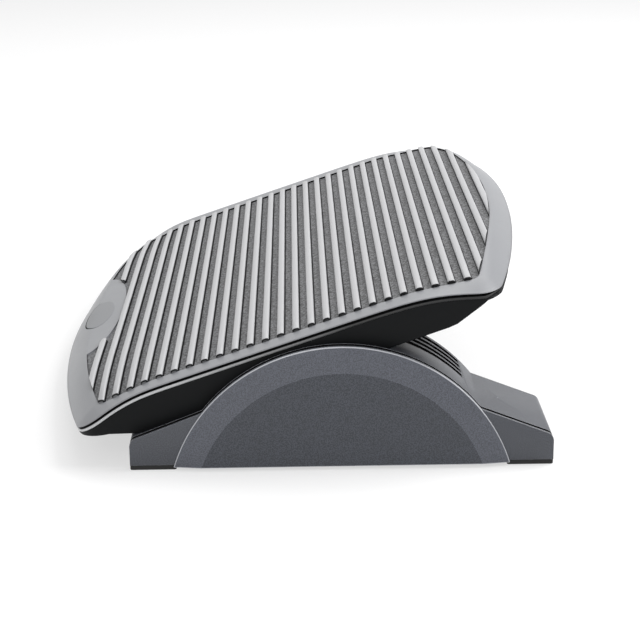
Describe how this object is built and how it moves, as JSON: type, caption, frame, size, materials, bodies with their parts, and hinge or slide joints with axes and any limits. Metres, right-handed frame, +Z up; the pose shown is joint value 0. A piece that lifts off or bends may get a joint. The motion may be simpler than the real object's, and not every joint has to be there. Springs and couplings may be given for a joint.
{
  "type": "tilting under desk footrest",
  "caption": "Wide ribbed foot platform that rocks to and fro over two arched side units with slotted tops, standing free on the floor.",
  "frame": {"origin": "on the floor, under the middle of the box round the whole footrest", "axes": "+X to the user's right, along the footrest's length; +Y towards the toes; +Z up"},
  "size_m": [0.4694, 0.3384, 0.1342],
  "materials": {
    "charcoal_plastic": "fine-grained satin charcoal moulding",
    "graphite_plastic": "satin graphite moulding with ribs",
    "black_plastic": "matt black moulding",
    "slate_plastic": "fine-grained slate moulding with a soft sheen",
    "oval_plastic": "satin grey oval, left bare",
    "black_rubber": "soft black rubber",
    "glide_plastic": "natural off-white low-friction plastic",
    "zinc_steel": "zinc-plated steel",
    "painted_tube": "black powder-coated steel tube"
  },
  "bodies": {
    "base": {"drum_housing_right": "charcoal_plastic", "drum_housing_left": "charcoal_plastic", "side_cover_right": "charcoal_plastic", "side_cover_left": "charcoal_plastic", "pod_cap_right": "slate_plastic", "pod_cap_left": "slate_plastic", "inner_cover_right": "charcoal_plastic", "inner_cover_left": "charcoal_plastic", "base_plate_right": "black_plastic", "base_plate_left": "black_plastic", "heel_foot_right": "black_rubber", "heel_foot_left": "black_rubber", "toe_foot_right": "black_rubber", "toe_foot_left": "black_rubber", "heel_bumper_right": "black_rubber", "heel_bumper_left": "black_rubber", "toe_bumper_right": "black_rubber", "toe_bumper_left": "black_rubber", "heel_cross_tube": "painted_tube", "toe_cross_tube": "painted_tube", "cross_tube_pins": "zinc_steel", "base_screws": "zinc_steel", "cover_screws": "zinc_steel"},
    "platform": {"tread_plate": "graphite_plastic", "badge_insert": "oval_plastic", "platform_frame": "black_plastic", "hanger_right": "black_plastic", "hanger_left": "black_plastic", "glide_shoe_right": "glide_plastic", "glide_shoe_left": "glide_plastic", "hanger_screws": "zinc_steel", "shoe_screws": "zinc_steel", "frame_screws": "zinc_steel"}
  },
  "joints": [
    {"name": "platform_tilt", "type": "hinge", "parent": "base", "child": "platform", "pos_m": [0, 0.03223, -0.0317], "axis": [1, 0, 0], "range_deg": [-37.2, 0]}
  ]
}
